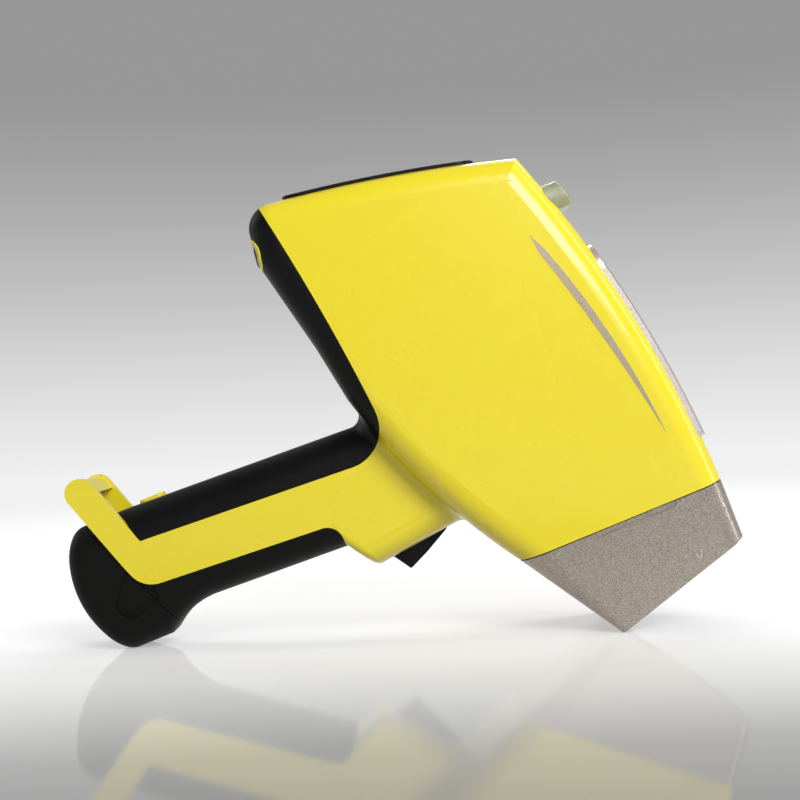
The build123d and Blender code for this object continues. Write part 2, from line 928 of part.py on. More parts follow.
def battery_cap():
    cap = foot_form() & below_cap_seam(cap_gap)
    above = slab(polygon((-FAR, pack_bottom_z), (0, pack_bottom_z), (0, 0), (-FAR, 0)), -FAR, FAR)
    cap = cap - (grip_form(cap_wall) & above)
    for cut in scallops():
        cap = cap - cut
    return cap


# ---- housings ----

def housing_half(yellow, side):
    """One yellow half with its screw bosses and strap arm; side is -1 right or 1 left."""
    inner, outer = sorted((0.0, side * FAR))
    half = yellow & slab(polygon((-FAR, -FAR), (FAR, -FAR), (FAR, FAR), (-FAR, FAR)), inner, outer)
    core = head_at(wall / 2)
    for place in screw_places:
        half = half + (cross_bar(place, inner, outer, screw_boss_r) & core)
    if side > 0:
        for place in chassis_mounts:
            half = half + (cross_bar(place, chassis_y + chassis_thick, FAR, mount_r) & core)
    for place in screw_places:
        half = half - cross_bar(place, screw_end_y, screw_seat_y, screw_r)
        half = half - cross_bar(place, screw_seat_y, FAR, screw_head_r + screw_clear)
    if side < 0:
        half = half + switch_bracket()
    half = half + pivot_boss(side) + strap_arm(side) + strap_web(side)
    return half - trigger_slot()


def housing_screws():
    screws = []
    for place in screw_places:
        shank = cross_bar(place, screw_end_y, screw_seat_y, screw_r)
        screws.append(shank + cross_bar(place, screw_seat_y, screw_seat_y + screw_head_depth, screw_head_r))
    return screws


# ---- assembly ----

def build():
    shell = outer_form() - inner_form()
    shell = shell & before_seam()
    shell = shell - below_cap_seam(0.0)
    spine_zone, grip_zone = spine_region(), grip_region()
    arms = [strap_arm(-1), strap_arm(1)]

    yellow = shell - spine_zone - grip_zone
    yellow = yellow - (accent_prism() - head_at(accent_back))
    yellow = yellow - lamp_prism(lamp_lip) - (lamp_prism(0.0) - head_at(lamp_seat))
    yellow = yellow - window_prism() - (rear_prism(0, 0, 0, bezel_round) - head_at(bezel_seat))

    spine = shell & spine_zone
    for arm in arms:
        spine = spine - arm
    spine = spine - (keypad_ring() - head_at(rim_sink))
    for index in (-1, 0, 1):
        spine = spine - key_hole(index)
    for post in keypad_posts():
        spine = spine + post
    spine = spine - release_prism(-2 * wall, 2 * wall, release_clear)

    grip = (shell & grip_zone) - spine_zone
    for cut in arms + scallops():
        grip = grip - cut

    nose = nose_form(0.0) - nose_form(nose_wall) - nose_latch()
    for groove in nose_ribs():
        nose = nose - groove
    gasket = nose_gasket()

    plate = along(front_tilt, window) * extrude(front_section(nose_wall), -plate_thick)
    plate = plate - front_disc(window_r, -plate_thick, 2 * plate_thick)
    plate = plate - front_disc(ring_r + ring_clear, -plate_thick, ring_thick + film_thick)
    ring = front_disc(ring_r, 0, ring_thick) - front_disc(window_r, -plate_thick, plate_thick)
    screws = ring_screws()
    for screw in screws:
        ring = ring - screw
        plate = plate - screw
    film = front_disc(film_r, ring_thick, ring_thick + film_thick)

    bezel = (layer(-bezel_rise, bezel_seat) & rear_prism(0, 0, 0, bezel_round)) - window_prism()
    accents = layer(accent_face, accent_back) & accent_prism()
    keys = [key_body(index) for index in (-1, 0, 1)]
    chassis_plate = chassis()
    supply = supply_box()

    return {
        "housing_right": housing_half(yellow, -1),
        "housing_left": housing_half(yellow, 1),
        "spine_cover": spine,
        "front_grip": grip,
        "nose_housing": nose,
        "nose_gasket": gasket,
        "front_plate": plate,
        "window_ring": ring,
        "window_film": film,
        "ring_screws": screws,
        "top_cover": layer(-cover_rise, 0.0) & cover_prism(),
        "accent_right": [s for s in accents.solids() if s.center().Y < 0],
        "accent_left": [s for s in accents.solids() if s.center().Y > 0],
        "lamp_lens": lamp_lens(),
        "lamp_board": lamp_leds(),
        "screen_bezel": bezel,
        "screen_glass": layer(-glass_rise, 0.0) & window_prism(),
        "lcd_module": layer(0.0, lcd_depth) & window_prism(),
        "keypad_rim": layer(-rim_rise, rim_sink) & keypad_ring(),
        "right_key": keys[0],
        "power_key": keys[1],
        "left_key": keys[2],
        "keypad_board": keypad_board(),
        "release_button": release_button(),
        "trigger": trigger(),
        "trigger_pin": cross_bar(pivot, -pin_half, pin_half, pin_r),
        "trigger_spring": trigger_spring(),
        "trigger_switch": trigger_switch(),
        "chassis": chassis_plate,
        "engine_block": engine_block(),
        "xray_tube": xray_tube(),
        "high_voltage_supply": supply,
        "detector": detector(),
        "preamp_board": board(preamp_centre, preamp_size, preamp_y, preamp_y + board_thick),
        "processor_board": processor_board(),
        "filter_wheel": filter_wheel(),
        "beam_filters": filters(),
        "filter_motor": filter_motor(),
        "battery_contacts": battery_contacts(),
        "battery_pack": battery_pack(),
        "battery_terminals": battery_terminals(),
        "battery_cap": battery_cap(),
        "housing_screws": housing_screws(),
    }


def nose_gasket():
    """The thin seal in the joint between the housing and the nose."""
    front = nose_form(latch_depth).faces().sort_by(Axis.X)[0]
    hole = nose_form(nose_wall).faces().sort_by(Axis.X)[0]
    return extrude(front, clear_seam, dir=(-1, 0, 0)) - extrude(hole, 2 * clear_seam, dir=(-1, 0, 0))


# ---- rest on the table ----

def rest_angle():
    """The turn about Y that sets the nose tip and the cap's front corner on one level."""
    arc = cap_bottom()
    corner_x = (arc @ 1).X - cap_round
    drop = math.sqrt((arc.radius - cap_round) ** 2 - (corner_x - arc.arc_center.X) ** 2)
    dx, dz = corner_x - nose_tip[0], arc.arc_center.Y - drop - nose_tip[1]
    return 180 + math.degrees(math.atan2(dz, dx) + math.asin(cap_round / math.hypot(dx, dz)))


def flatten(piece):
    """The separate solids of a piece."""
    if isinstance(piece, list):
        return [solid for item in piece for solid in flatten(item)]
    return list(piece.solids())


pieces = {name: flatten(piece) for name, piece in build().items()}
turn = Rot(0, rest_angle(), 0)
turned = {name: [turn * solid for solid in solids] for name, solids in pieces.items()}
whole = Compound([solid for solids in turned.values() for solid in solids]).bounding_box()
place = Pos(-(whole.min.X + whole.max.X) / 2, -(whole.min.Y + whole.max.Y) / 2, -whole.min.Z)
for name, solids in turned.items():
    placed = [place * solid for solid in solids]
    export_step(placed[0] if len(placed) == 1 else Compound(placed), f"parts/{name}.step")
print("turn", round(rest_angle(), 3), "shift", place.position)
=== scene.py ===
import json
import math

import bmesh
import bpy
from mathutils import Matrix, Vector
from mathutils.bvhtree import BVHTree


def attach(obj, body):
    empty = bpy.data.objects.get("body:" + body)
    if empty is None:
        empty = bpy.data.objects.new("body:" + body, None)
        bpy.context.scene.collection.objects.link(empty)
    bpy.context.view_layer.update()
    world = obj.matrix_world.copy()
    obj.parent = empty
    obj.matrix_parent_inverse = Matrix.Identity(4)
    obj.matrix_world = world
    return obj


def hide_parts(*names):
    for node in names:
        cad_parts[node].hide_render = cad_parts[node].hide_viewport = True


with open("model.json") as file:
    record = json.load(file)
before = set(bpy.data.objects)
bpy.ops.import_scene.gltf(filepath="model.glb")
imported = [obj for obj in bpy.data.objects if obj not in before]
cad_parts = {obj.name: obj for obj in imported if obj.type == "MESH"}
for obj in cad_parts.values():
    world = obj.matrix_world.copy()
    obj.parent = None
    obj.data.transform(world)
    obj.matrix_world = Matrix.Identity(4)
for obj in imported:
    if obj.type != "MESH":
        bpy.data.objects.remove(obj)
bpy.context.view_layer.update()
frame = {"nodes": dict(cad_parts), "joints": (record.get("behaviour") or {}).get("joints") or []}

scene = bpy.context.scene
nodes = frame["nodes"]
joints = {j["name"]: j for j in frame["joints"]}
print("frame loaded:", len(nodes), "nodes")


# The part lies tilted on the table. noseWard points at the sample and topWard at its top.
noseWard = Vector(joints["release_button_press"]["axis"])
topWard = Vector(joints["right_key_press"]["axis"])
pivotAt = {"x": -0.031, "z": -0.0805}  # trigger pivot in the instrument's own frame
origin = Vector(joints["trigger_pull"]["pos_m"]) - noseWard * pivotAt["x"] - topWard * pivotAt["z"]


def at(x, y, z):
    # a point of the instrument's own frame, in mm, as a place in the scene
    return origin + noseWard * (x / 1000) + Vector((0, y / 1000, 0)) + topWard * (z / 1000)


def linear(hexText):
    # an sRGB colour written as rrggbb, as the renderer wants it
    channels = [int(hexText[i:i + 2], 16) / 255 for i in (0, 2, 4)]
    return tuple(c / 12.92 if c <= 0.04045 else ((c + 0.055) / 1.055) ** 2.4 for c in channels) + (1.0,)


class Tree:
    # a node tree with short ways to add and join nodes
    def __init__(self, tree):
        self.tree = tree

    def add(self, kind, **settings):
        node = self.tree.nodes.new(kind)
        for key, value in settings.items():
            if key in node.bl_rna.properties:
                setattr(node, key, value)
            else:
                node.inputs[key.replace("_", " ")].default_value = value
        return node

    def join(self, start, end):
        self.tree.links.new(start, end)

    def maths(self, operation, a, b=None, clamp=False):
        node = self.tree.nodes.new("ShaderNodeMath")
        node.operation, node.use_clamp = operation, clamp
        for socket, value in zip(node.inputs, (a, b)):
            if isinstance(value, (int, float)):
                socket.default_value = value
            elif value is not None:
                self.join(value, socket)
        return node.outputs[0]

    def mix(self, factor, a, b, blend="MIX"):
        node = self.tree.nodes.new("ShaderNodeMix")
        node.data_type, node.blend_type = "RGBA", blend
        for socket, value in zip((node.inputs[0], node.inputs[6], node.inputs[7]), (factor, a, b)):
            if isinstance(value, (int, float, tuple)):
                socket.default_value = value
            else:
                self.join(value, socket)
        return node.outputs[2]

    def span(self, value, low, high, outLow=0.0, outHigh=1.0):
        node = self.tree.nodes.new("ShaderNodeMapRange")
        for socket, number in zip(node.inputs[1:5], (low, high, outLow, outHigh)):
            socket.default_value = number
        self.join(value, node.inputs[0])
        return node.outputs[0]


def group(name, inputs, outputs):
    tree = bpy.data.node_groups.new(name, "ShaderNodeTree")
    for label, kind, value in inputs:
        socket = tree.interface.new_socket(label, in_out="INPUT", socket_type=kind)
        socket.default_value = value
    for label, kind in outputs:
        tree.interface.new_socket(label, in_out="OUTPUT", socket_type=kind)
    t = Tree(tree)
    return t, t.add("NodeGroupInput"), t.add("NodeGroupOutput")


def makeGrain():
    # moulded or sprayed skin: fine bumps over slow waves, as a height
    t, given, result = group("skinGrain", [
        ("Place", "NodeSocketVector", (0, 0, 0)), ("Grain Scale", "NodeSocketFloat", 2500.0),
        ("Wave Scale", "NodeSocketFloat", 120.0), ("Wave Share", "NodeSocketFloat", 0.2)],
        [("Height", "NodeSocketFloat"), ("Patch", "NodeSocketFloat")])
    grain = t.add("ShaderNodeTexVoronoi", feature="SMOOTH_F1", Smoothness=0.6)
    wave = t.add("ShaderNodeTexNoise", Detail=3.0)
    t.join(given.outputs["Place"], grain.inputs["Vector"])
    t.join(given.outputs["Grain Scale"], grain.inputs["Scale"])
    t.join(given.outputs["Place"], wave.inputs["Vector"])
    t.join(given.outputs["Wave Scale"], wave.inputs["Scale"])
    slow = t.maths("MULTIPLY", wave.outputs["Fac"], given.outputs["Wave Share"])
    rest = t.maths("SUBTRACT", 1.0, given.outputs["Wave Share"])
    fine = t.maths("MULTIPLY", grain.outputs["Distance"], rest)
    t.join(t.maths("ADD", slow, fine), result.inputs["Height"])
    t.join(wave.outputs["Fac"], result.inputs["Patch"])
    return t.tree


def makeHandling():
    # smudges and hair scratches that a used tool has, as two masks
    t, given, result = group("handling", [
        ("Place", "NodeSocketVector", (0, 0, 0)), ("Smudge Scale", "NodeSocketFloat", 18.0),
        ("Scratch Scale", "NodeSocketFloat", 60.0)],
        [("Smudge", "NodeSocketFloat"), ("Scratch", "NodeSocketFloat")])
    smudge = t.add("ShaderNodeTexNoise", Detail=6.0, Roughness=0.62)
    t.join(given.outputs["Place"], smudge.inputs["Vector"])
    t.join(given.outputs["Smudge Scale"], smudge.inputs["Scale"])
    t.join(t.span(smudge.outputs["Fac"], 0.42, 0.68), result.inputs["Smudge"])
    scratches = None
    for turn in (0.5, 2.1):
        place = t.add("ShaderNodeMapping", Rotation=(0.4, turn, 0.2), Scale=(1.0, 1.0, 0.035))
        line = t.add("ShaderNodeTexVoronoi", feature="DISTANCE_TO_EDGE")
        t.join(given.outputs["Place"], place.inputs["Vector"])
        t.join(place.outputs["Vector"], line.inputs["Vector"])
        t.join(given.outputs["Scratch Scale"], line.inputs["Scale"])
        thin = t.span(line.outputs["Distance"], 0.0, 0.012, 1.0, 0.0)
        scratches = thin if scratches is None else t.maths("MAXIMUM", scratches, thin)
    gaps = t.add("ShaderNodeTexNoise", Scale=23.0, Detail=2.0)
    t.join(given.outputs["Place"], gaps.inputs["Vector"])
    t.join(t.maths("MULTIPLY", scratches, t.span(gaps.outputs["Fac"], 0.6, 0.72)), result.inputs["Scratch"])
    return t.tree


skinGrain, handling = makeGrain(), makeHandling()


def newMaterial(name, metallic=0.0, **sockets):
    # a material with one Principled shader whose plain values are set on its own sockets
    material = bpy.data.materials.new(name)
    material.use_nodes = True
    t = Tree(material.node_tree)
    shader = material.node_tree.nodes["Principled BSDF"]
    shader.inputs["Metallic"].default_value = metallic
    for key, value in sockets.items():
        shader.inputs[key.replace("_", " ")].default_value = value
    place = t.add("ShaderNodeTexCoord").outputs["Object"]
    return material, t, shader, place


def placeGroup(t, tree, place, **values):
    node = t.tree.nodes.new("ShaderNodeGroup")
    node.node_tree = tree
    t.join(place, node.inputs["Place"])
    for key, value in values.items():
        node.inputs[key.replace("_", " ")].default_value = value
    return node


def bumpInto(t, shader, height, strength, distance):
    bump = t.add("ShaderNodeBump", Strength=strength, Distance=distance)
    t.join(height, bump.inputs["Height"])
    t.join(bump.outputs["Normal"], shader.inputs["Normal"])


def mouldedPlastic(name, look):
    # plastic, rubber or paint with grain, smudges and fine scratches
    material, t, shader, place = newMaterial(name, Coat_Weight=look.get("coat", 0.0), Coat_Roughness=0.06,
                                             Specular_IOR_Level=look.get("shine", 0.5),
                                             Sheen_Weight=look.get("sheen", 0.0))
    grain = placeGroup(t, skinGrain, place, Grain_Scale=look["grainScale"], Wave_Scale=look["waveScale"],
                       Wave_Share=look["waveShare"])
    marks = placeGroup(t, handling, place)
    base, tint = linear(look["colour"]), linear(look["tint"])
    colour = t.mix(t.span(grain.outputs["Patch"], 0.3, 0.7), base, tint)
    worn = t.maths("MULTIPLY", marks.outputs["Scratch"], look["scratch"])
    colour = t.mix(worn, colour, linear(look["worn"]))
    t.join(colour, shader.inputs["Base Color"])
    rough = t.maths("MULTIPLY_ADD", marks.outputs["Smudge"], look["smudge"])
    t.tree.nodes[-1].inputs[2].default_value = look["rough"]
    t.join(t.maths("ADD", rough, worn), shader.inputs["Roughness"])
    bumpInto(t, shader, grain.outputs["Height"], look["bump"], look["depth"])
    return material


def flakePaint(name, look):
    # metallic paint: fine bright and dark flakes that catch the light each its own way
    material, t, shader, place = newMaterial(name, look["metal"], Coat_Weight=look["coat"],
                                             Coat_Roughness=0.18, Specular_IOR_Level=0.5)
    flakes = t.add("ShaderNodeTexVoronoi", Scale=look["flakeScale"])
    t.join(place, flakes.inputs["Vector"])
    split = t.add("ShaderNodeSeparateColor")
    t.join(flakes.outputs["Color"], split.inputs["Color"])
    marks = placeGroup(t, handling, place)
    colour = t.mix(t.span(split.outputs["Red"], 0.15, 0.95), linear(look["dark"]), linear(look["light"]))
    t.join(colour, shader.inputs["Base Color"])
    rough = t.span(split.outputs["Green"], 0.0, 1.0, look["rough"] - 0.08, look["rough"] + 0.08)
    t.join(t.maths("MULTIPLY_ADD", marks.outputs["Smudge"], 0.06), shader.inputs["Roughness"])
    t.join(rough, t.tree.nodes[-1].inputs[2])
    bumpInto(t, shader, split.outputs["Blue"], look["bump"], 0.00006)
    return material


def brushedMetal(name, look):
    # machined or brushed metal with fine lines along one direction
    material, t, shader, place = newMaterial(name, 1.0, Anisotropic=0.3)
    stretch = t.add("ShaderNodeMapping", Scale=look["stretch"])
    lines = t.add("ShaderNodeTexNoise", Scale=look["lineScale"], Detail=4.0)
    t.join(place, stretch.inputs["Vector"])
    t.join(stretch.outputs["Vector"], lines.inputs["Vector"])
    t.join(t.mix(lines.outputs["Fac"], linear(look["dark"]), linear(look["light"])),
           shader.inputs["Base Color"])
    t.join(t.span(lines.outputs["Fac"], 0.2, 0.8, look["rough"] - 0.08, look["rough"] + 0.1),
           shader.inputs["Roughness"])
    bumpInto(t, shader, lines.outputs["Fac"], 0.15, 0.00005)
    return material


def circuitBoard(name, look):
    # solder mask over copper runs, with bright pads
    material, t, shader, place = newMaterial(name, 0.0, Coat_Weight=0.4, Coat_Roughness=0.2)
    runs = t.add("ShaderNodeTexBrick", Scale=look["runScale"], Mortar_Size=0.03, Brick_Width=0.9,
                 Row_Height=0.2, Color1=linear(look["mask"]), Color2=linear(look["maskDark"]),
                 Mortar=linear(look["run"]))
    pads = t.add("ShaderNodeTexVoronoi", Scale=look["padScale"], Randomness=0.35)
    t.join(place, runs.inputs["Vector"])
    t.join(place, pads.inputs["Vector"])
    pad = t.span(pads.outputs["Distance"], 0.16, 0.19, 1.0, 0.0)
    t.join(t.mix(pad, runs.outputs["Color"], linear(look["pad"])), shader.inputs["Base Color"])
    t.join(t.span(pad, 0.0, 1.0, 0.45, 0.28), shader.inputs["Roughness"])
    t.join(pad, shader.inputs["Metallic"])
    bumpInto(t, shader, runs.outputs["Fac"], 0.2, 0.0001)
    return material


def clearMaterial(name, look):
    # tinted see-through plastic or glass
    material, t, shader, place = newMaterial(name, 0.0, Transmission_Weight=look["clear"], IOR=look["ior"])
    cloud = t.add("ShaderNodeTexNoise", Scale=look["cloudScale"], Detail=3.0)
    t.join(place, cloud.inputs["Vector"])
    t.join(t.mix(cloud.outputs["Fac"], linear(look["dark"]), linear(look["light"])),
           shader.inputs["Base Color"])
    t.join(t.span(cloud.outputs["Fac"], 0.3, 0.7, look["rough"], look["rough"] * 1.5),
           shader.inputs["Roughness"])
    bumpInto(t, shader, cloud.outputs["Fac"], look["bump"], 0.0001)
    return material


yellowLook = {"colour": "f7e41f", "tint": "f6e21d", "worn": "e6d23c", "rough": 0.27, "smudge": 0.03,
              "coat": 0.5, "grainScale": 1400.0, "waveScale": 110.0, "waveShare": 0.3, "bump": 0.035,
              "depth": 0.0001, "scratch": 0.10}
gripLook = {"colour": "0c0b0a", "tint": "090908", "worn": "1b1a18", "rough": 0.5, "smudge": 0.12,
            "sheen": 0.02, "grainScale": 1500.0, "waveScale": 90.0, "waveShare": 0.15, "bump": 0.35,
            "depth": 0.00012, "scratch": 0.2, "shine": 0.13}
hardBlackLook = {"colour": "0b0a0a", "tint": "090808", "worn": "1c1b1a", "rough": 0.38, "smudge": 0.10,
                 "grainScale": 2100.0, "waveScale": 130.0, "waveShare": 0.2, "bump": 0.22,
                 "depth": 0.0001, "scratch": 0.25, "shine": 0.15}
printWhiteLook = {"colour": "d2d2cc", "tint": "c9c9c2", "worn": "9c9c96", "rough": 0.5, "smudge": 0.1,
                  "grainScale": 2600.0, "waveScale": 200.0, "waveShare": 0.3, "bump": 0.1,
                  "depth": 0.00005, "scratch": 0.3}
ledWhiteLook = dict(printWhiteLook, colour="f0ecc4", tint="e8e2b0", rough=0.15, coat=0.6, scratch=0.0)
sealLook = dict(gripLook, rough=0.7, bump=0.15)
silverLook = {"dark": "7b736b", "light": "bbb1a6", "metal": 0.85, "rough": 0.30, "coat": 0.3,
              "flakeScale": 4400.0, "bump": 0.26}
# the top cover's silver is the nose's silver paint made paler: painted light, where the top faces the lamps
paintedLitSilverLook = {"dark": "c2bab4", "light": "e2dcd6", "metal": 0.6, "rough": 0.30, "coat": 0.3,
             "flakeScale": 4800.0, "bump": 0.12}
accentLook = {"dark": "9c8e78", "light": "b8aa94", "metal": 0.6, "rough": 0.34, "coat": 0.2,
              "flakeScale": 4600.0, "bump": 0.1}
steelLook = {"dark": "8c8d90", "light": "c6c7ca", "rough": 0.28, "lineScale": 700.0, "stretch": (1, 0.06, 1)}
aluminiumLook = {"dark": "a8aaae", "light": "dadce0", "rough": 0.34, "lineScale": 500.0,
                 "stretch": (0.05, 1, 1)}
brassLook = {"dark": "b08a45", "light": "dcb870", "rough": 0.26, "lineScale": 600.0, "stretch": (1, 0.1, 1)}
boardLook = {"mask": "14512a", "maskDark": "0f4423", "run": "2c7a45", "pad": "d8c07a", "runScale": 160.0,
             "padScale": 420.0}
lensLook = {"dark": "d3d7bf", "light": "dde0ca", "clear": 0.72, "ior": 1.36, "rough": 0.2,
            "cloudScale": 30.0, "bump": 0.02}
glassLook = {"dark": "0b0c0e", "light": "101215", "clear": 0.25, "ior": 1.5, "rough": 0.04,
             "cloudScale": 40.0, "bump": 0.01}
filmLook = {"dark": "b8651a", "light": "d98a2c", "clear": 0.3, "ior": 1.6, "rough": 0.18,
            "cloudScale": 500.0, "bump": 0.25}

yellow = mouldedPlastic("yellowShell", yellowLook)
gripRubber = mouldedPlastic("gripRubber", gripLook)
hardBlack = mouldedPlastic("hardBlack", hardBlackLook)
sealRubber = mouldedPlastic("sealRubber", sealLook)
silver = flakePaint("silverPaint", silverLook)
# paler silver, a painted light, for the top cover and the nose chevron
paintedLitSilver = flakePaint("paintedLitSilver", paintedLitSilverLook)
accentSilver = flakePaint("accentSilver", accentLook)
steel = brushedMetal("steel", steelLook)
aluminium = brushedMetal("aluminium", aluminiumLook)
brass = brushedMetal("brass", brassLook)
circuit = circuitBoard("circuit", boardLook)
lens = clearMaterial("lampLens", lensLook)
ledWhite = mouldedPlastic("ledWhite", ledWhiteLook)
printWhite = mouldedPlastic("printWhite", printWhiteLook)
glass = clearMaterial("screenGlass", glassLook)
film = clearMaterial("windowFilm", filmLook)


def displayMaterial():
    # a switched-off panel: near black, with the faint grid of its picture cells
    material, t, shader, place = newMaterial("display", 0.0, Coat_Weight=0.3)
    grid = t.add("ShaderNodeTexBrick", Scale=1500.0, Mortar_Size=0.06, offset=0.0, Color1=linear("10151c"),
                 Color2=linear("131922"), Mortar=linear("06080a"))
    t.join(place, grid.inputs["Vector"])
    t.join(grid.outputs["Color"], shader.inputs["Base Color"])
    t.join(t.span(grid.outputs["Fac"], 0.0, 1.0, 0.18, 0.3), shader.inputs["Roughness"])
    return material


display = displayMaterial()
materialOf = {
    "housing_right": yellow, "housing_left": yellow, "keypad_rim": yellow, "release_button": yellow,
    "spine_cover": hardBlack, "screen_bezel": hardBlack, "trigger": hardBlack, "front_plate": hardBlack,
    "front_grip": gripRubber, "battery_cap": gripRubber, "right_key": gripRubber, "power_key": gripRubber,
    "left_key": gripRubber, "nose_gasket": sealRubber, "nose_housing": silver, "top_cover": paintedLitSilver,
    "accent_right": accentSilver, "accent_left": accentSilver, "lamp_lens": lens, "screen_glass": glass,
    "window_film": film, "lcd_module": display, "lamp_board": circuit, "keypad_board": circuit,
    "preamp_board": circuit, "processor_board": circuit, "window_ring": steel, "ring_screws": steel,
    "housing_screws": steel, "trigger_pin": steel, "trigger_spring": steel, "xray_tube": steel,
    "detector": steel, "filter_motor": steel, "chassis": aluminium, "engine_block": aluminium,
    "filter_wheel": aluminium, "beam_filters": aluminium, "battery_contacts": brass,
    "battery_terminals": brass, "battery_pack": hardBlack, "trigger_switch": hardBlack,
    "high_voltage_supply": hardBlack,
}
for name, node in nodes.items():
    for socket in node.material_slots:
        socket.material = materialOf[name]
print("materials placed on", len(materialOf), "nodes")


studioLook = {"wallRadius": 2.4, "wallHeight": 1.5, "floorShade": 0.5, "gain": 0.86, "mirror": 1.22,
              "polish": 0.06, "bounce": 0.42, "open": "f1f1f1", "bend": 0.02,
              "nearFrom": 0.5, "nearTo": 1.3, "paintedShadeFrom": 0.33, "paintedShadeTo": 0.46, "start": -0.32, "end": 2.0,
              "wallLow": 0.0, "wallHigh": 0.76}
# where on the floor from front to back, and up the wall, each grey lies: painted shade, dark at the floor's
# front and grey high up the wall
floorPaintedShade = ((0.0, "828282"), (0.036, "9c9c9c"), (0.069, "c4c4c4"), (0.116, "e8e8e8"), (0.185, "f8f8f8"),
              (0.30, "f8f8f8"), (0.53, "f4f4f4"), (0.83, "f0f0f0"))
wallPaintedShade = ((0.0, "efefef"), (0.145, "e2e2e2"), (0.285, "d5d5d5"), (0.42, "c6c6c6"), (0.565, "b9b9b9"),
             (0.70, "acacac"), (0.84, "a1a1a1"), (1.0, "979797"))


def makeStudio():
    # a round floor that curves up into a wall, grey at the top and nearly white at the floor, from shade
    # painted in its material
    profile = [(0.0, 0.0), (studioLook["wallRadius"] - 0.5, 0.0)]
    profile += [(studioLook["wallRadius"] - 0.5 + 0.5 * math.sin(a), 0.5 - 0.5 * math.cos(a))
                for a in (math.radians(d) for d in range(10, 100, 10))]
    profile.append((studioLook["wallRadius"], studioLook["wallHeight"]))
    sides = 96
    mesh = bpy.data.meshes.new("studio")
    corners = [(r * math.cos(2 * math.pi * k / sides), r * math.sin(2 * math.pi * k / sides), z)
               for r, z in profile[1:] for k in range(sides)]
    corners.append((0, 0, 0))
    faces = [(len(corners) - 1, k, (k + 1) % sides) for k in range(sides)]
    for ring in range(len(profile) - 2):
        low, high = ring * sides, (ring + 1) * sides
        faces += [(low + k, high + k, high + (k + 1) % sides, low + (k + 1) % sides) for k in range(sides)]
    mesh.from_pydata(corners, [], faces)
    mesh.shade_smooth()
    studio = bpy.data.objects.new("studio", mesh)
    scene.collection.objects.link(studio)
    return studio


def greyRamp(t, place, stops):
    ramp = t.add("ShaderNodeValToRGB")
    t.join(place, ramp.inputs["Fac"])
    while len(ramp.color_ramp.elements) < len(stops):
        ramp.color_ramp.elements.new(0.5)
    for element, (spot, grey) in zip(ramp.color_ramp.elements, stops):
        element.position, element.color = spot, linear(grey)
    return ramp.outputs["Color"]


def studioMaterial():
    # glossy paper near the object, which also glows with half its grey, a painted light; further off a plain
    # glow of the same grey, so no seam shows
    look = studioLook
    material, t, shader, place = newMaterial("studioPaper", 0.0, Roughness=look["polish"],
                                             IOR=look["mirror"])
    axes = t.add("ShaderNodeSeparateXYZ")
    t.join(place, axes.inputs["Vector"])
    floor = greyRamp(t, t.span(axes.outputs["Y"], look["start"], look["end"]), floorPaintedShade)
    wall = greyRamp(t, t.span(axes.outputs["Z"], look["wallLow"], look["wallHigh"]), wallPaintedShade)
    flat = t.add("ShaderNodeCombineXYZ")
    t.join(axes.outputs["X"], flat.inputs["X"])
    t.join(axes.outputs["Y"], flat.inputs["Y"])
    radius = t.add("ShaderNodeVectorMath", operation="LENGTH")
    t.join(flat.outputs["Vector"], radius.inputs[0])
    # the painted shade at the floor's front fades into the plain open grey away from the object
    floor = t.mix(t.span(radius.outputs["Value"], look["paintedShadeFrom"], look["paintedShadeTo"]), floor,
                  linear(look["open"]))
    colour = t.mix(t.span(axes.outputs["Z"], 0.0, look["bend"]), floor, wall)
    dimmed = t.mix(1.0, colour, (look["gain"], look["gain"], look["gain"], 1.0), "MULTIPLY")
    t.join(dimmed, shader.inputs["Base Color"])
    t.join(dimmed, shader.inputs["Emission Color"])
    # the near paper glows too, painted light, so the lamps' shade on it shows only by half
    shader.inputs["Emission Strength"].default_value = 1.0 - look["floorShade"]
    glow = t.add("ShaderNodeEmission")
    t.join(colour, glow.inputs["Color"])
    far = t.add("ShaderNodeMapRange", interpolation_type="SMOOTHSTEP")
    far.inputs[1].default_value, far.inputs[2].default_value = look["nearFrom"], look["nearTo"]
    t.join(radius.outputs["Value"], far.inputs[0])
    byRange = t.add("ShaderNodeMixShader")
    t.join(far.outputs[0], byRange.inputs[0])
    t.join(shader.outputs[0], byRange.inputs[1])
    t.join(glow.outputs[0], byRange.inputs[2])
    path = t.add("ShaderNodeLightPath")
    seen = t.maths("MAXIMUM", path.outputs["Is Camera Ray"],
                   t.maths("MAXIMUM", path.outputs["Is Glossy Ray"], path.outputs["Is Transmission Ray"]))
    soft = t.add("ShaderNodeBsdfDiffuse", Color=(look["bounce"],) * 3 + (1,))
    hidden = t.add("ShaderNodeBsdfTransparent")
    bySight, byFace = t.add("ShaderNodeMixShader"), t.add("ShaderNodeMixShader")
    t.join(seen, bySight.inputs[0])
    t.join(soft.outputs[0], bySight.inputs[1])
    t.join(byRange.outputs[0], bySight.inputs[2])
    t.join(t.add("ShaderNodeNewGeometry").outputs["Backfacing"], byFace.inputs[0])
    t.join(bySight.outputs[0], byFace.inputs[1])
    t.join(hidden.outputs[0], byFace.inputs[2])
    t.join(byFace.outputs[0], material.node_tree.nodes["Material Output"].inputs["Surface"])
    return material


studio = makeStudio()
studio.data.materials.append(studioMaterial())

airLook = {"colour": (0.92, 0.93, 0.95, 1), "strength": 0.32}
world = bpy.data.worlds.new("studioAir")
world.use_nodes = True
world.node_tree.nodes["Background"].inputs["Color"].default_value = airLook["colour"]
world.node_tree.nodes["Background"].inputs["Strength"].default_value = airLook["strength"]
scene.world = world

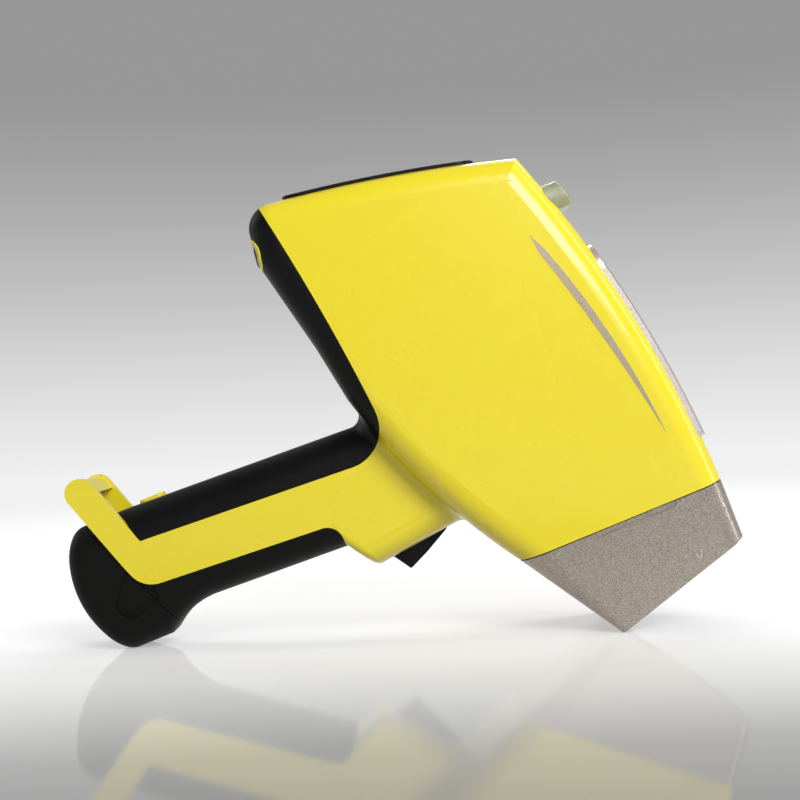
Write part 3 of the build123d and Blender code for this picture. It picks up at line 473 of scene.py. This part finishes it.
lampLook = {  # name: place, aim, width, height, watts
    "keyPanel": ((0.60, -1.35, 0.95), (0.0, 0.0, 0.10), 0.9, 0.9, 23.0),
    "edgeStrip": ((1.15, -0.10, 0.52), (0.05, 0.0, 0.12), 0.05, 1.2, 3.2),
    "rearStrip": ((0.35, 0.95, 1.15), (0.02, 0.0, 0.12), 1.2, 0.3, 9.0),
    "leftFill": ((-1.2, 0.5, 0.8), (0.0, 0.0, 0.10), 0.8, 0.8, 2.5),
}


def makeLamp(name, place, aim, width, height, watts):
    light = bpy.data.lights.new(name, "AREA")
    light.shape, light.size, light.size_y, light.energy = "RECTANGLE", width, height, watts
    lamp = bpy.data.objects.new(name, light)
    lamp.location = place
    lamp.rotation_euler = (Vector(aim) - Vector(place)).to_track_quat("-Z", "Y").to_euler()
    scene.collection.objects.link(lamp)


for name, values in lampLook.items():
    makeLamp(name, *values)

cameraLook = {"distance": 0.70, "lens": 65.8, "sensor": 36.0, "middle": (-89.2, -74.9), "roll": 2.6}


def makeCamera():
    # level with the part's middle, looking square at its right side
    data = bpy.data.cameras.new("camera")
    data.lens, data.sensor_width = cameraLook["lens"], cameraLook["sensor"]
    camera = bpy.data.objects.new("camera", data)
    middle = at(cameraLook["middle"][0], 0, cameraLook["middle"][1])
    camera.location = middle - Vector((0, cameraLook["distance"], 0))
    camera.rotation_euler = (math.radians(90), math.radians(cameraLook["roll"]), 0)
    scene.collection.objects.link(camera)
    scene.camera = camera
    scene.view_settings.view_transform = "Standard"


makeCamera()
print("studio, lamps and camera placed")


def finishMesh(name, build, material, body):
    # closes a bmesh into an object that rides on a body
    build.normal_update()
    mesh = bpy.data.meshes.new(name)
    build.to_mesh(mesh)
    build.free()
    mesh.materials.append(material)
    piece = bpy.data.objects.new(name, mesh)
    scene.collection.objects.link(piece)
    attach(piece, body)
    return piece


def skinTree(*names):
    # a search tree over the surface of some nodes, at rest
    points, faces = [], []
    for name in names:
        mesh, start = nodes[name].data, len(points)
        points += [v.co.copy() for v in mesh.vertices]
        faces += [[start + i for i in p.vertices] for p in mesh.polygons]
    return BVHTree.FromPolygons(points, faces)


def prism(build, outline, out, low, high):
    # a closed plate: an outline of scene points, pushed from low to high metres along out
    bottom = [build.verts.new(p + out * low) for p in outline]
    top = [build.verts.new(p + out * high) for p in outline]
    count = len(outline)
    build.faces.new(top)
    build.faces.new(bottom[::-1])
    for k in range(count):
        build.faces.new((bottom[k], bottom[(k + 1) % count], top[(k + 1) % count], top[k]))


def closeBand(build, rows):
    # joins rows of four points into one closed band
    for a, b in zip(rows, rows[1:]):
        for k in range(4):
            build.faces.new((a[k], b[k], b[(k + 1) % 4], a[(k + 1) % 4]))
    build.faces.new(rows[0][::-1])
    build.faces.new(rows[-1])


partingLook = {"half": 0.00016, "proud": 0.00003, "step": 2.0, "beside": 0.4, "above": 90,
               "runs": ((-121.9, -144.0), (-154.4, -169.0), (-1.2, -20.4))}


def partingLine():
    # the fine joint of the two yellow halves, a narrow dark ribbon on the skin
    skin = skinTree("housing_right", "housing_left")
    build = bmesh.new()
    for first, last in partingLook["runs"]:
        rows = []
        steps = max(2, int(abs(last - first) / partingLook["step"]))
        for k in range(steps + 1):
            x = first + (last - first) * k / steps
            hit, normal, _, _ = skin.ray_cast(at(x, partingLook["beside"], partingLook["above"]), -topWard)
            if hit is None:
                continue
            if normal.dot(topWard) < 0:
                normal = -normal
            hit.y = 0.0
            middle = hit + normal * partingLook["proud"]
            sideways = Vector((0, partingLook["half"], 0))
            down = normal * (2 * partingLook["proud"])
            rows.append([build.verts.new(p) for p in (middle - sideways, middle + sideways,
                                                      middle + sideways - down, middle - sideways - down)])
        closeBand(build, rows)
    bmesh.ops.recalc_face_normals(build, faces=build.faces)
    return finishMesh("partingLine", build, sealRubber, "instrument")


partingLine()
print("parting line made")


def circleHeight(first, middle, last):
    # the height over x of the arc through three points of the instrument's side view
    (ax, az), (bx, bz), (cx, cz) = first, middle, last
    d = 2 * (ax * (bz - cz) + bx * (cz - az) + cx * (az - bz))
    ux = ((ax**2 + az**2) * (bz - cz) + (bx**2 + bz**2) * (cz - az) + (cx**2 + cz**2) * (az - bz)) / d
    uz = ((ax**2 + az**2) * (cx - bx) + (bx**2 + bz**2) * (ax - cx) + (cx**2 + cz**2) * (bx - ax)) / d
    reach = (ax - ux) ** 2 + (az - uz) ** 2
    side = 1 if bz > uz else -1
    return lambda x: uz + side * math.sqrt(max(reach - (x - ux) ** 2, 0.0))


bladeLook = {"tail": (-136.0, 7.3), "tip": (-29.8, 30.6), "upper": (-82.5, 25.0), "lower": (-81.6, 19.4),
             "bladeUpper": ((-127.6, 11.2), (-82.5, 23.4)), "bladeLower": ((-127.0, 8.2), (-81.6, 20.2)),
             "grow": 0.35, "fillProud": 0.02, "bladeProud": 0.14, "depth": 0.9, "steps": 72, "across": 4,
             "least": 0.02, "beside": 1.2, "outside": 70, "short": 0.3}


def sidePlate(name, low, high, start, end, proud, side, material, skin):
    # a closed plate on the side skin between two curves over x; side is -1 right or 1 left
    look, rows, across = bladeLook, [], bladeLook["across"]
    outward = Vector((0, side, 0))

    def onSkin(x, z):
        hit, _, _, _ = skin.ray_cast(at(x, side * look["outside"], z), -outward)
        return abs(hit.y) * 1000

    build = bmesh.new()
    for k in range(look["steps"] + 1):
        x = start + (end - start) * k / look["steps"]
        below = low(x)
        above = max(high(x), below + look["least"])
        z0, z1 = leafLow(x) - look["beside"], leafHigh(x) + look["beside"]
        y0, y1 = onSkin(x, z0), onSkin(x, z1)
        row = []
        for i in range(across + 1):
            z = below + (above - below) * i / across
            row.append((x, y0 + (y1 - y0) * (z - z0) / (z1 - z0), z))
        rows.append(row)
    top = [[build.verts.new(at(x, side * (y + proud), z)) for x, y, z in row] for row in rows]
    base = [[build.verts.new(at(x, side * (y - look["depth"]), z)) for x, y, z in row] for row in rows]
    for k in range(look["steps"]):
        for i in range(across):
            build.faces.new((top[k][i], top[k + 1][i], top[k + 1][i + 1], top[k][i + 1]))
            build.faces.new((base[k][i], base[k][i + 1], base[k + 1][i + 1], base[k + 1][i]))
        build.faces.new((top[k][0], base[k][0], base[k + 1][0], top[k + 1][0]))
        build.faces.new((top[k][-1], top[k + 1][-1], base[k + 1][-1], base[k][-1]))
    for row in (0, -1):
        for i in range(across):
            build.faces.new((top[row][i], top[row][i + 1], base[row][i + 1], base[row][i]))
    bmesh.ops.recalc_face_normals(build, faces=build.faces)
    return finishMesh(name, build, material, "instrument")


leafHigh = circleHeight(bladeLook["tail"], bladeLook["upper"], bladeLook["tip"])
leafLow = circleHeight(bladeLook["tail"], bladeLook["lower"], bladeLook["tip"])


def sideAccents():
    # the inlay's bed, flush with the skin, and the narrow silver blade on it
    look = bladeLook
    arcHigh = circleHeight(look["bladeUpper"][0], look["bladeUpper"][1], look["tip"])
    arcLow = circleHeight(look["bladeLower"][0], look["bladeLower"][1], look["tip"])
    (ux, uz), (lx, lz), (tx, tz) = look["bladeUpper"][0], look["bladeLower"][0], look["tail"]

    def bladeHigh(x):
        return arcHigh(x) if x > ux else tz + (uz - tz) * (x - tx) / (ux - tx)

    def bladeLow(x):
        return arcLow(x) if x > lx else tz + (lz - tz) * (x - tx) / (lx - tx)

    for side, half, node in ((-1, "housing_right", "accent_right"), (1, "housing_left", "accent_left")):
        skin = skinTree(half)
        bed = sidePlate("accentBed" + node[7:].title(), lambda x: leafLow(x) - look["grow"],
                        lambda x: leafHigh(x) + look["grow"], look["tail"][0], look["tip"][0],
                        look["fillProud"], side, yellow, skin)
        sidePlate("accentBlade" + node[7:].title(), bladeLow, bladeHigh,
                  look["tail"][0] + look["short"], look["tip"][0] - look["short"], look["bladeProud"], side,
                  accentSilver, skin)
        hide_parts(node)


sideAccents()
print("side accents made")


def repeatTree():
    # one piece set on each point, turned alike, with its own spin, as real geometry
    tree = bpy.data.node_groups.new("repeatPiece", "GeometryNodeTree")
    for label, kind in (("Points", "Geometry"), ("Piece", "Object"), ("Turn", "Vector"), ("Spin", "Float"),
                        ("Seed", "Int"), ("Finish", "Material")):
        tree.interface.new_socket(label, in_out="INPUT", socket_type="NodeSocket" + kind)
    tree.interface.new_socket("Geometry", in_out="OUTPUT", socket_type="NodeSocketGeometry")
    t = Tree(tree)
    given, result = t.add("NodeGroupInput"), t.add("NodeGroupOutput")
    piece = t.add("GeometryNodeObjectInfo")
    onPoints, spinning = t.add("GeometryNodeInstanceOnPoints"), t.add("GeometryNodeRotateInstances")
    chance, turn = t.add("FunctionNodeRandomValue", data_type="FLOAT"), t.add("ShaderNodeCombineXYZ")
    real, finish = t.add("GeometryNodeRealizeInstances"), t.add("GeometryNodeSetMaterial")
    t.join(given.outputs["Piece"], piece.inputs["Object"])
    t.join(given.outputs["Points"], onPoints.inputs["Points"])
    t.join(piece.outputs["Geometry"], onPoints.inputs["Instance"])
    t.join(given.outputs["Turn"], onPoints.inputs["Rotation"])
    t.join(given.outputs["Spin"], chance.inputs[3])
    t.join(given.outputs["Seed"], chance.inputs["Seed"])
    t.join(chance.outputs[1], turn.inputs["Z"])
    t.join(onPoints.outputs["Instances"], spinning.inputs["Instances"])
    t.join(turn.outputs["Vector"], spinning.inputs["Rotation"])
    t.join(spinning.outputs["Instances"], real.inputs["Geometry"])
    t.join(real.outputs["Geometry"], finish.inputs["Geometry"])
    t.join(given.outputs["Finish"], finish.inputs["Material"])
    t.join(finish.outputs["Geometry"], result.inputs["Geometry"])
    return tree


repeatPiece = repeatTree()


def repeat(name, source, places, turn, spin, seed, material, body):
    # runs the repeat tree once and keeps its result as a plain mesh
    points = bpy.data.meshes.new(name + "Points")
    points.from_pydata([tuple(p) for p in places], [], [])
    holder = bpy.data.objects.new(name + "Holder", points)
    scene.collection.objects.link(holder)
    modifier = holder.modifiers.new("repeat", "NODES")
    modifier.node_group = repeatPiece
    values = {"Piece": source, "Turn": turn, "Spin": spin, "Seed": seed, "Finish": material}
    for item in repeatPiece.interface.items_tree:
        if item.in_out == "INPUT" and item.name in values:
            modifier[item.identifier] = values[item.name]
    holder.update_tag()
    graph = bpy.context.evaluated_depsgraph_get()
    mesh = bpy.data.meshes.new_from_object(holder.evaluated_get(graph))
    bpy.data.objects.remove(holder)
    bpy.data.objects.remove(source)
    mesh.materials.clear()
    mesh.materials.append(material)
    piece = bpy.data.objects.new(name, mesh)
    scene.collection.objects.link(piece)
    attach(piece, body)
    return piece


roundSteps = 36


def turned(name, rings):
    # a closed turned piece from (radius, height, sides) rings; sides 6 makes a hexagon
    build, count, loops = bmesh.new(), roundSteps, []
    for radius, height, sides in rings:
        loop = []
        for k in range(count):
            angle = 2 * math.pi * k / count
            reach = radius
            if sides:
                half = math.pi / sides
                reach = radius / math.cos((angle % (2 * half)) - half)
            loop.append(build.verts.new((reach * math.cos(angle), reach * math.sin(angle), height)))
        loops.append(loop)
    build.faces.new(loops[0][::-1])
    build.faces.new(loops[-1])
    for low, high in zip(loops, loops[1:]):
        for k in range(count):
            build.faces.new((low[k], low[(k + 1) % count], high[(k + 1) % count], high[k]))
    bmesh.ops.recalc_face_normals(build, faces=build.faces)
    mesh = bpy.data.meshes.new(name)
    build.to_mesh(mesh)
    build.free()
    piece = bpy.data.objects.new(name, mesh)
    scene.collection.objects.link(piece)
    return piece


def islandTops(node, axis):
    # the middle of the outer end of each loose part of a CAD node, along an axis
    build = bmesh.new()
    build.from_mesh(nodes[node].data)
    bmesh.ops.remove_doubles(build, verts=build.verts, dist=1e-7)
    seen, tops = set(), []
    for start in build.verts:
        if start in seen:
            continue
        waiting, part = [start], []
        while waiting:
            vert = waiting.pop()
            if vert in seen:
                continue
            seen.add(vert)
            part.append(vert.co.copy())
            waiting += [edge.other_vert(vert) for edge in vert.link_edges]
        top = max(p.dot(axis) for p in part)
        outer = [p for p in part if p.dot(axis) > top - 1e-5]
        tops.append(sum(outer, Vector()) / len(outer))
    build.free()
    return tops


screwLook = {"headR": 3.0, "head": 2.6, "shankR": 1.5, "shank": 41.0, "edge": 0.3, "socketR": 1.25,
             "socket": 1.5, "lip": 0.08, "spin": 6.28, "seed": 7}
ringScrewLook = {"headR": 1.9, "head": 0.6, "shankR": 1.1, "shank": 2.6, "edge": 0.22, "socketR": 0.75,
                 "socket": 0.45, "lip": 0.08, "spin": 6.28, "seed": 3}
faceAhead = (0.9609, 0.2772)  # which way the window faces: share of noseWard and of topWard


def socketScrew(name, look):
    mm = {key: value / 1000 for key, value in look.items()}
    under = -mm["head"]
    return turned(name, (
        (mm["shankR"], under - mm["shank"], 0), (mm["shankR"], under, 0), (mm["headR"], under, 0),
        (mm["headR"], -mm["edge"], 0), (mm["headR"] - 0.3 * mm["edge"], -0.3 * mm["edge"], 0),
        (mm["headR"] - mm["edge"], 0.0, 0), (mm["socketR"] + mm["lip"], 0.0, 6),
        (mm["socketR"], -mm["lip"], 6), (mm["socketR"], -mm["socket"], 6)))


def makeScrews():
    # the five cap screws of the housing and the three of the window's ring
    sideways = Vector((0, 1, 0))
    ahead = (noseWard * faceAhead[0] + topWard * faceAhead[1]).normalized()
    tilt = math.atan2(ahead.x, ahead.z)
    for name, node, look, axis, turn in (
            ("housingScrews", "housing_screws", screwLook, sideways, (-math.pi / 2, 0, 0)),
            ("ringScrews", "ring_screws", ringScrewLook, ahead, (0, tilt, 0))):
        made = repeat(name, socketScrew(name + "One", look), islandTops(node, axis), turn, look["spin"],
                      look["seed"], steel, "instrument")
        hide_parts(node)


makeScrews()
print("screws made")

ledLook = {"count": 6, "pitch": 9.0, "x": -148.8, "above": 60, "radius": 1.5, "sink": 0.2,
           "rings": (0, 20, 40, 60, 78), "seed": 1}


def lampDomes():
    # a dome of pale white plastic over each light of the lamp
    board, places = skinTree("lamp_board"), []
    for i in range(ledLook["count"]):
        y = (i - (ledLook["count"] - 1) / 2) * ledLook["pitch"]
        hit, _, _, _ = board.ray_cast(at(ledLook["x"], y, ledLook["above"]), -topWard)
        places.append(hit)
    r = ledLook["radius"] / 1000
    rings = [(r, -ledLook["sink"] / 1000, 0)]
    rings += [(r * math.cos(a), r * math.sin(a), 0) for a in map(math.radians, ledLook["rings"])]
    tilt = math.atan2(topWard.x, topWard.z)
    repeat("lampDomes", turned("lampDome", rings), places, (0, tilt, 0), 0.0, ledLook["seed"], ledWhite,
           "instrument")


lampDomes()
print("lamp domes made")

markLook = {"line": 0.55, "proud": 0.05, "sink": 0.3, "keyX": -175.0, "keyPitch": 17.5, "under": -140,
            "ring": 2.1, "ringSteps": 30, "gap": 38.0, "bar": (0.2, 1.2, 2.6), "arrow": 2.3,
            "arrowHalf": 0.75, "arrowTail": 0.5}
chevronLook = {"points": ((26.8, 22.9), (29.5, 24.7), (25.6, 25.9)), "middle": (27.5, 24.4), "line": 0.55,
               "proud": 0.18, "sink": 0.3, "outside": -70}


def ribbon(build, points, width, normal, proud, sink):
    # a closed flat band along scene points, lying on a surface
    rows = []
    for k, point in enumerate(points):
        before, after = points[max(k - 1, 0)], points[min(k + 1, len(points) - 1)]
        sideways = (after - before).cross(normal).normalized() * (width / 2)
        up, down = normal * proud, normal * sink
        rows.append([build.verts.new(p) for p in (point - sideways + up, point + sideways + up,
                                                  point + sideways - down, point - sideways - down)])
    closeBand(build, rows)


def keyMarks():
    # a power sign and two arrows, printed on the keys
    look = markLook
    for key, place, kind in (("right_key", -1, "arrow"), ("power_key", 0, "power"),
                             ("left_key", 1, "arrow")):
        skin, build, y = skinTree(key), bmesh.new(), place * look["keyPitch"]

        def onKey(dx, dy):
            return skin.ray_cast(at(look["keyX"] + dx, y + dy, look["under"]), topWard)

        _, normal, _, _ = onKey(0, 0)
        if normal.dot(topWard) > 0:
            normal = -normal
        size = look["line"] / 1000
        if kind == "power":
            gap = math.radians(look["gap"])
            steps = look["ringSteps"]
            turns = [gap + (2 * math.pi - 2 * gap) * k / steps for k in range(steps + 1)]
            ring = [onKey(look["ring"] * math.cos(a), look["ring"] * math.sin(a))[0] for a in turns]
            bar = [onKey(d, 0)[0] for d in look["bar"]]
            for line in (ring, bar):
                ribbon(build, line, size, normal, look["proud"] / 1000, look["sink"] / 1000)
        else:
            half, tail = look["arrow"] * look["arrowHalf"], look["arrow"] * look["arrowTail"]
            corners = [onKey(dx, dy)[0] for dx, dy in ((0, place * half), (half, -place * tail),
                                                       (-half, -place * tail))]
            if (corners[1] - corners[0]).cross(corners[2] - corners[0]).dot(normal) < 0:
                corners.reverse()
            prism(build, corners, normal, -look["sink"] / 1000, look["proud"] / 1000)
        bmesh.ops.recalc_face_normals(build, faces=build.faces)
        finishMesh(key.title().replace("_", "") + "Mark", build, printWhite, key)


def noseChevron():
    # the small raised chevron near the nose's tip, in the paler silver: a painted highlight on the nose's
    # own silver
    skin, build = skinTree("nose_housing"), bmesh.new()
    look, inward = chevronLook, Vector((0, 1, 0))
    middleX, middleZ = look["middle"]
    points = [skin.ray_cast(at(x, look["outside"], z), inward)[0] for x, z in look["points"]]
    _, normal, _, _ = skin.ray_cast(at(middleX, look["outside"], middleZ), inward)
    normal = normal if normal.y < 0 else -normal
    ribbon(build, points, look["line"] / 1000, normal, look["proud"] / 1000, look["sink"] / 1000)
    bmesh.ops.recalc_face_normals(build, faces=build.faces)
    finishMesh("noseChevron", build, paintedLitSilver, "instrument")


keyMarks()
noseChevron()
print("marks made")
